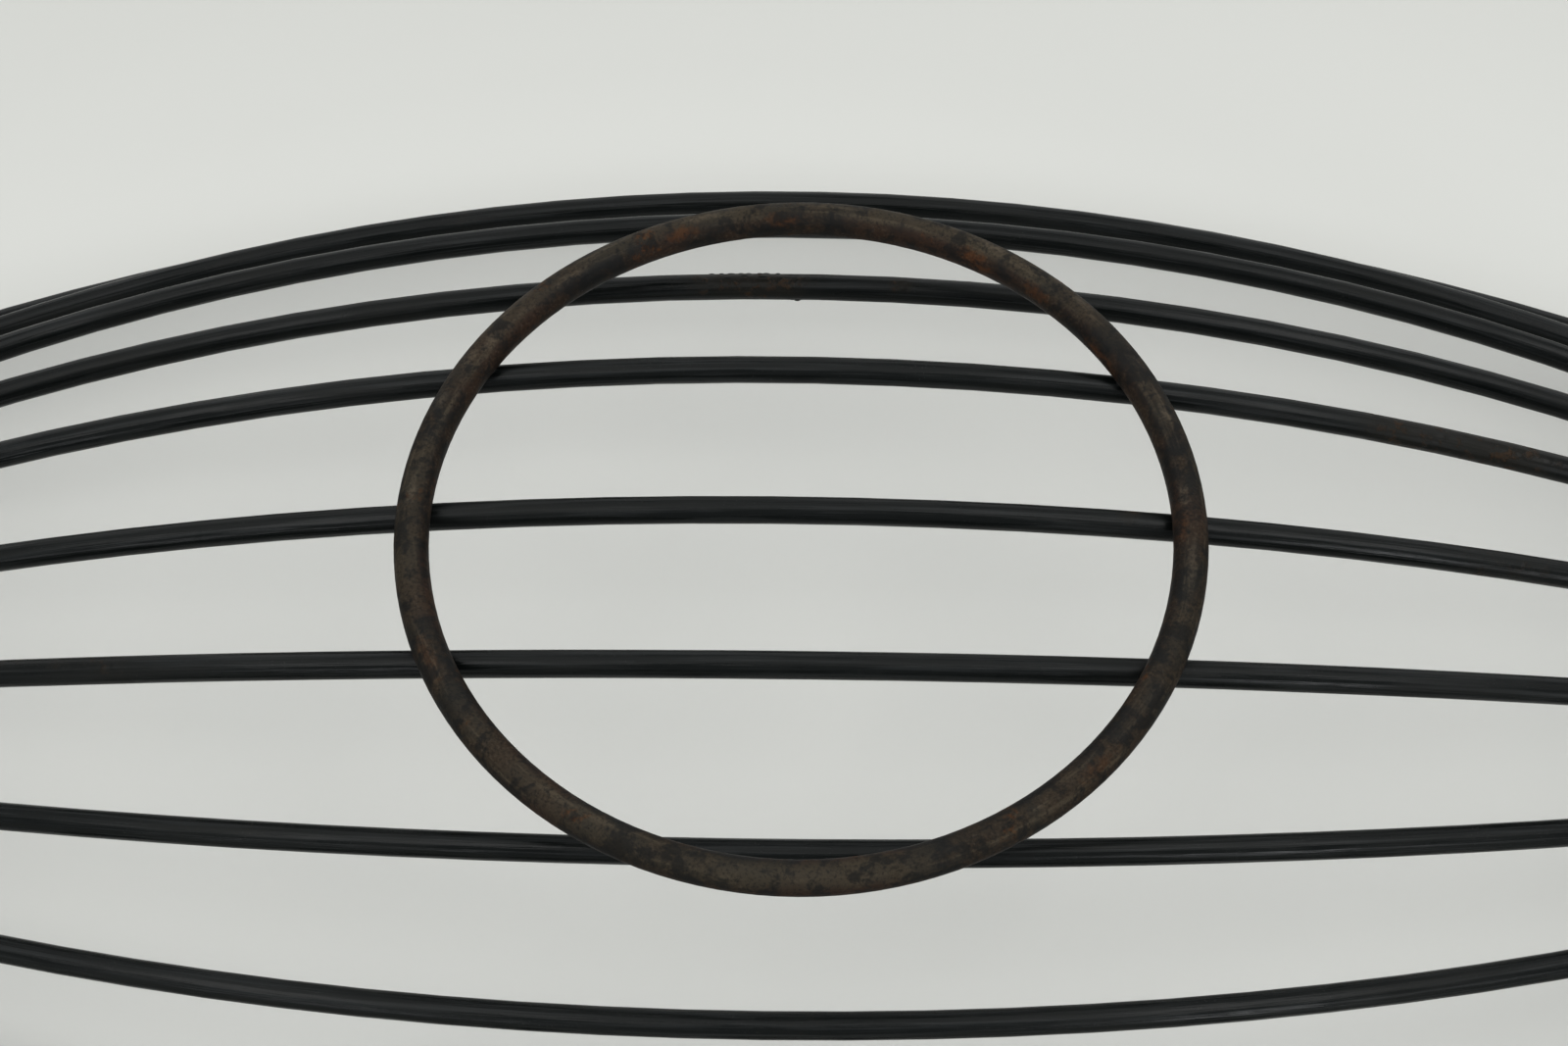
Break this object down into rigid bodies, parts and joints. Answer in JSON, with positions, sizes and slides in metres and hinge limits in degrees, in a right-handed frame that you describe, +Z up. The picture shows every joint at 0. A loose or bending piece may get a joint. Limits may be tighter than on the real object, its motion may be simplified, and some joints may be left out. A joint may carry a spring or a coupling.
{
  "type": "boat-shaped wire frame",
  "caption": "Open boat-shaped frame of black wire ribs gathered to two tips on an oval rim, with a round rusty foot ring, lying rim down.",
  "frame": {"origin": "middle of the oval rim, on the plane that the rim rests on", "axes": "+Z up from the rim to the foot ring, so the frame is upside down as in the picture; +X along the ribs, +Y across them, away from the picture's camera"},
  "size_m": [0.4164, 0.199, 0.0602],
  "materials": {
    "black_wire": "satin black paint, thin, a little worn",
    "rusty_wire": "bare dark brown oxidised steel wire with patches of orange rust"
  },
  "bodies": {
    "root": {"foot_ring": "rusty_wire", "rim": "black_wire", "rib_centre": "black_wire", "rib_far_1": "black_wire", "rib_far_2": "black_wire", "rib_far_3": "black_wire", "rib_far_4": "black_wire", "rib_near_1": "black_wire", "rib_near_2": "black_wire", "rib_near_3": "black_wire", "rib_near_4": "black_wire"}
  },
  "joints": []
}
